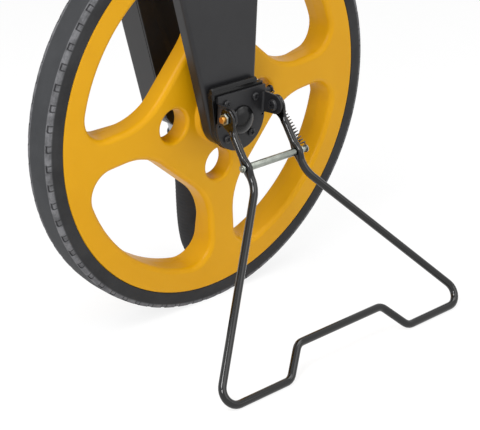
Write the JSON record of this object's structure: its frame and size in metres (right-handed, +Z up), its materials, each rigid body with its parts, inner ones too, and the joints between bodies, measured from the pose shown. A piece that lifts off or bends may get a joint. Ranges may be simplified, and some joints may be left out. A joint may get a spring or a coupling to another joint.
{
  "type": "measuring wheel",
  "caption": "Folding measuring wheel with a yellow spoked wheel, black fork, hinged wire prop stand, gear-driven counter and a fold-down telescopic pole",
  "frame": {"origin": "middle of the footprint on the ground that the tyre and the stand rest on", "axes": "+Z up; -Y to the side that the wire stand props; +X to the right seen from that side; the axle lies along Y, leant by 5.15 degrees about X"},
  "size_m": [0.3184, 0.2414, 0.4019],
  "materials": {
    "yellow_plastic": "satin moulded yellow",
    "tyre_rubber": "matte grey-black rubber",
    "black_paint": "satin black",
    "black_gloss": "gloss black",
    "black_shell": "gloss black",
    "black_plastic": "satin black",
    "grip_rubber": "matte black",
    "zinc": "bright zinc",
    "steel": "plain steel",
    "brass": "yellow passivated",
    "white_plastic": "natural white",
    "clear_plastic": "clear",
    "aluminium": "satin"
  },
  "bodies": {
    "fork": {"near_leg": "black_paint", "rear_leg": "black_plastic", "rear_leg_cover": "black_plastic", "fork_crown": "black_plastic", "axle": "steel", "axle_nut_near": "steel", "axle_nut_far": "steel", "hub_spacer_near": "steel", "hub_spacer_far": "steel", "hub_housing": "black_plastic", "stand_bracket": "black_paint", "hub_cap": "black_shell", "hub_screw_1": "black_paint", "hub_screw_2": "black_paint", "hub_screw_3": "black_paint", "hub_screw_4": "black_paint", "stand_pivot_bolt_left": "brass", "stand_pivot_bolt_right": "black_paint", "stand_pivot_nut_left": "zinc", "stand_pivot_nut_right": "black_paint", "spring_post": "black_paint", "shaft_bush_lower": "black_plastic", "shaft_bush_upper": "black_plastic", "counter_housing": "black_plastic", "counter_window": "clear_plastic", "drum_axle": "steel", "pole_bracket": "black_paint", "pole_hinge_pin": "steel", "stand_spring": "black_paint"},
    "wheel": {"wheel_body": "yellow_plastic", "tyre": "tyre_rubber", "wheel_bearing_near": "steel", "wheel_bearing_far": "steel", "hub_gear": "white_plastic"},
    "drive": {"drive_shaft": "steel", "shaft_pinion_lower": "white_plastic", "shaft_pinion_upper": "white_plastic"},
    "drum_tenths": {"drum_1": "white_plastic", "drum_gear": "white_plastic"},
    "drum_units": {"drum_2": "white_plastic"},
    "drum_tens": {"drum_3": "white_plastic"},
    "drum_hundreds": {"drum_4": "white_plastic"},
    "drum_thousands": {"drum_5": "white_plastic"},
    "reset": {"reset_knob": "black_plastic"},
    "stand": {"stand_frame": "black_gloss", "stand_crossbar": "zinc", "crossbar_nut_left": "zinc", "crossbar_nut_right": "zinc"},
    "pole": {"pole_knuckle": "black_plastic", "pole_outer_tube": "aluminium"},
    "lock": {"pole_lock_knob": "black_plastic"},
    "collar": {"twist_collar": "black_plastic"},
    "extension": {"pole_inner_tube": "aluminium", "grip": "grip_rubber", "grip_cap": "black_plastic"}
  },
  "joints": [
    {"name": "wheel_spin", "type": "hinge", "parent": "fork", "child": "wheel", "pos_m": [0, 0.02922, 0.15901], "axis": [0, 0.996, 0.0898], "continuous": true},
    {"name": "drive_shaft_spin", "type": "hinge", "parent": "fork", "child": "drive", "pos_m": [0, 0.0561, 0.26183], "axis": [0, -0.0898, 0.996], "continuous": true},
    {"name": "drum_tenths_spin", "type": "hinge", "parent": "fork", "child": "drum_tenths", "pos_m": [0, 0.00942, 0.37872], "axis": [0, 0.996, 0.0898], "continuous": true},
    {"name": "drum_units_spin", "type": "hinge", "parent": "fork", "child": "drum_units", "pos_m": [0, 0.00942, 0.37872], "axis": [0, 0.996, 0.0898], "continuous": true},
    {"name": "drum_tens_spin", "type": "hinge", "parent": "fork", "child": "drum_tens", "pos_m": [0, 0.00942, 0.37872], "axis": [0, 0.996, 0.0898], "continuous": true},
    {"name": "drum_hundreds_spin", "type": "hinge", "parent": "fork", "child": "drum_hundreds", "pos_m": [0, 0.00942, 0.37872], "axis": [0, 0.996, 0.0898], "continuous": true},
    {"name": "drum_thousands_spin", "type": "hinge", "parent": "fork", "child": "drum_thousands", "pos_m": [0, 0.00942, 0.37872], "axis": [0, 0.996, 0.0898], "continuous": true},
    {"name": "stand_fold", "type": "hinge", "parent": "fork", "child": "stand", "pos_m": [0, -0.01999, 0.16471], "axis": [-1, 0, 0], "range_deg": [0, 147], "deforming": ["stand_spring"]},
    {"name": "pole_fold", "type": "hinge", "parent": "fork", "child": "pole", "pos_m": [-0.0478, 0.04759, 0.37854], "axis": [0.9555, -0.0265, 0.2937], "range_deg": [0, 180]},
    {"name": "pole_extend", "type": "slide", "parent": "pole", "child": "extension", "axis": [0.2949, 0.0858, -0.9517], "range_m": [0, 0.2]},
    {"name": "collar_twist", "type": "hinge", "parent": "pole", "child": "collar", "pos_m": [0.03624, 0.09992, 0.10983], "axis": [0.2949, 0.0858, -0.9517], "range_deg": [0, 90]},
    {"name": "lock_knob_turn", "type": "hinge", "parent": "fork", "child": "lock", "pos_m": [-0.0478, 0.04759, 0.37854], "axis": [0.9555, -0.0265, 0.2937], "range_deg": [0, 90]},
    {"name": "reset_turn", "type": "hinge", "parent": "fork", "child": "reset", "pos_m": [0, 0.05722, 0.38302], "axis": [0, 0.996, 0.0898], "range_deg": [0, 60]}
  ],
  "couplings": [
    {"joint": "drive_shaft_spin", "follows": "wheel_spin", "ratio": 2},
    {"joint": "drum_tenths_spin", "follows": "wheel_spin", "ratio": -1},
    {"joint": "drum_units_spin", "follows": "wheel_spin", "ratio": -0.1},
    {"joint": "drum_tens_spin", "follows": "wheel_spin", "ratio": -0.01},
    {"joint": "drum_hundreds_spin", "follows": "wheel_spin", "ratio": -0.001},
    {"joint": "drum_thousands_spin", "follows": "wheel_spin", "ratio": -0.0001}
  ]
}
